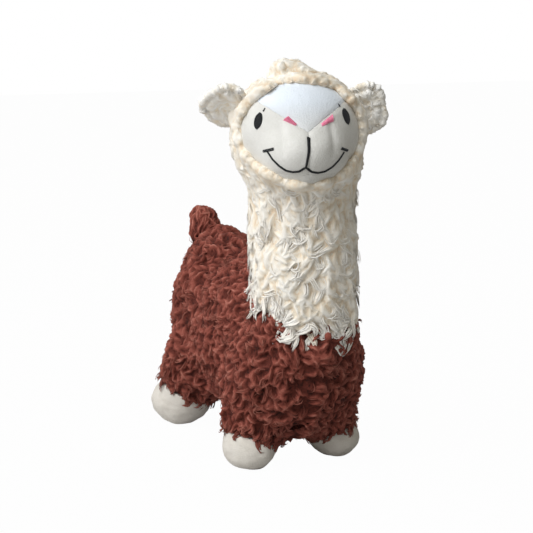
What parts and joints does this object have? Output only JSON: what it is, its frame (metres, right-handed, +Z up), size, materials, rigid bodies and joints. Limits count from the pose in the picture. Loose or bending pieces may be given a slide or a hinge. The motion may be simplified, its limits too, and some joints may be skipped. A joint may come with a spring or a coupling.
{
  "type": "plush alpaca dog toy",
  "caption": "Standing stuffed alpaca for a dog, with a long cream neck, a brown curly body, white feet, an embroidered face and a squeaker inside.",
  "frame": {"origin": "on the floor under the middle of the toy's outline", "axes": "+Z up, the toy looks along -Y, its right side is at -X"},
  "size_m": [0.1186, 0.2236, 0.2841],
  "materials": {
    "brown_long_pile": "long curled pile",
    "cream_long_pile": "long wavy pile",
    "ear_lining_pile": "short pile",
    "white_short_pile": "short plush pile",
    "black_thread": "satin stitch",
    "pink_thread": "satin stitch",
    "polyester_fibre": "loose fibre",
    "squeaker_rubber": "matte",
    "squeaker_plastic": "matte"
  },
  "bodies": {
    "root": {"belly_gusset": "brown_long_pile", "body_side_left": "brown_long_pile", "body_side_right": "brown_long_pile", "cheek_panel_left": "white_short_pile", "cheek_panel_right": "white_short_pile", "chin_panel": "white_short_pile", "ear_left": "cream_long_pile", "ear_lining_left": "ear_lining_pile", "ear_lining_right": "ear_lining_pile", "ear_right": "cream_long_pile", "eye_left": "black_thread", "eye_right": "black_thread", "eyelash_left": "black_thread", "eyelash_right": "black_thread", "foot_front_left": "white_short_pile", "foot_front_right": "white_short_pile", "foot_rear_left": "white_short_pile", "foot_rear_right": "white_short_pile", "forehead_panel": "white_short_pile", "hood_and_neck": "cream_long_pile", "mouth_corner_left": "black_thread", "mouth_corner_right": "black_thread", "mouth_line_left": "black_thread", "mouth_line_right": "black_thread", "nostril_left": "pink_thread", "nostril_right": "pink_thread", "philtrum_line": "black_thread", "squeaker_bladder": "squeaker_rubber", "squeaker_reed": "squeaker_plastic", "stuffing": "polyester_fibre", "tail": "brown_long_pile", "topknot": "cream_long_pile"}
  },
  "joints": []
}
